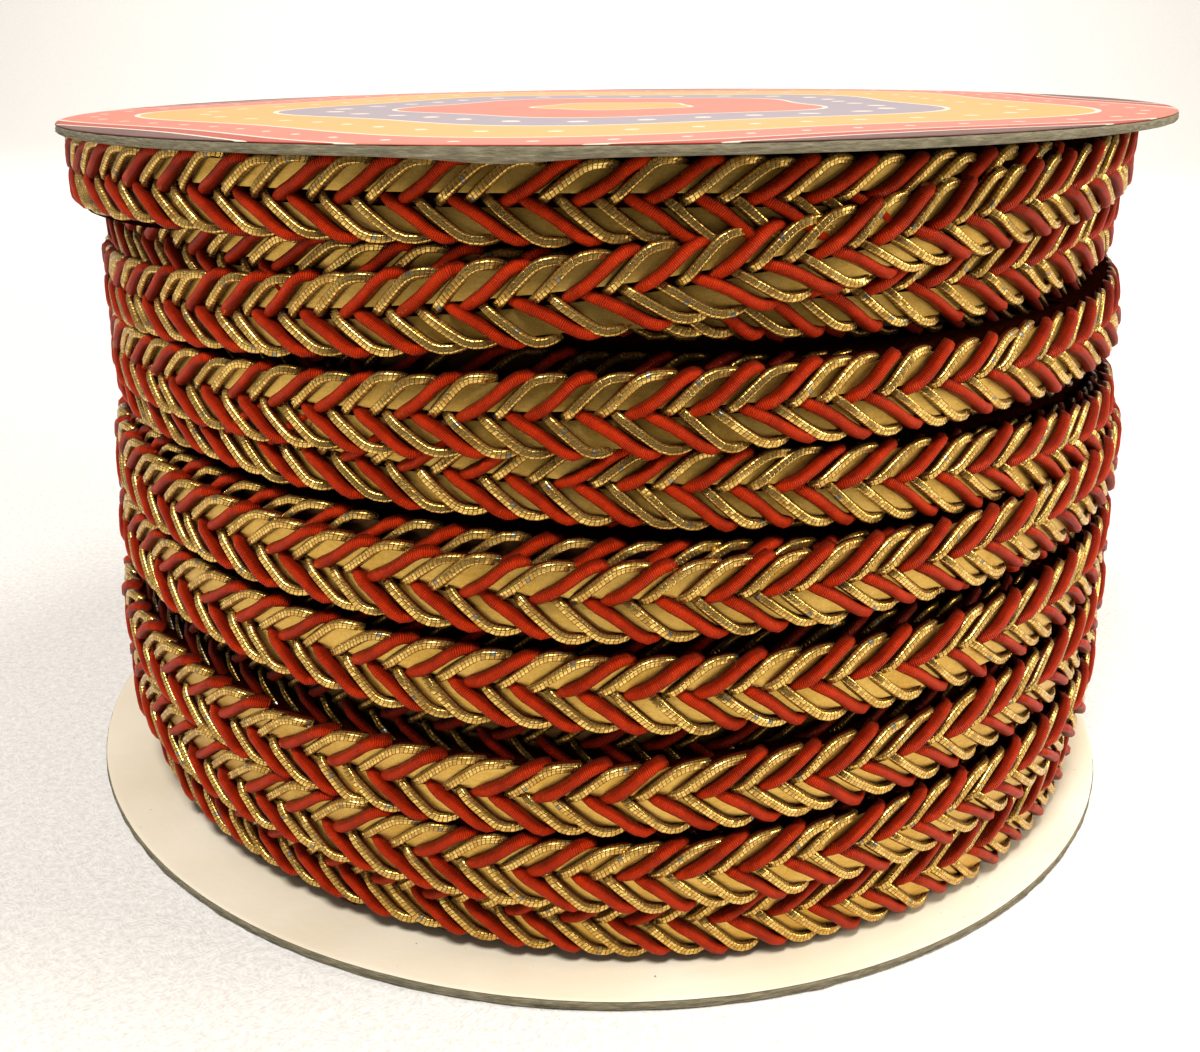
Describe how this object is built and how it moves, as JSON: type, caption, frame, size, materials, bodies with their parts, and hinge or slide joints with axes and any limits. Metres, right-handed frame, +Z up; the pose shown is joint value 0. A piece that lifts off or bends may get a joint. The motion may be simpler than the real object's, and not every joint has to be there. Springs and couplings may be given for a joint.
{
  "type": "braid trim on a card spool",
  "caption": "Flat metallic gimp braid trim wound lap over lap between two card discs, standing on its lower disc.",
  "frame": {"origin": "centre of the lower disc's underside, which rests on the surface", "axes": "+Z up along the spool's axis, -Y towards the front, +X to the right of the front"},
  "size_m": [0.1302, 0.1307, 0.0807],
  "materials": {
    "lower_card": "matt cream paper on grey card",
    "upper_card": "glossy printed paper on grey card",
    "braid": "red silk and gold foil gimp",
    "red_silk": "silk-wrapped cord with a soft sheen",
    "gold_foil": "cord wrapped in shiny foil strip",
    "gold_tape": "flat satin foil tape"
  },
  "bodies": {
    "root": {"lower_disc": "lower_card", "upper_disc": "upper_card", "wound_braid": "braid"}
  },
  "joints": []
}
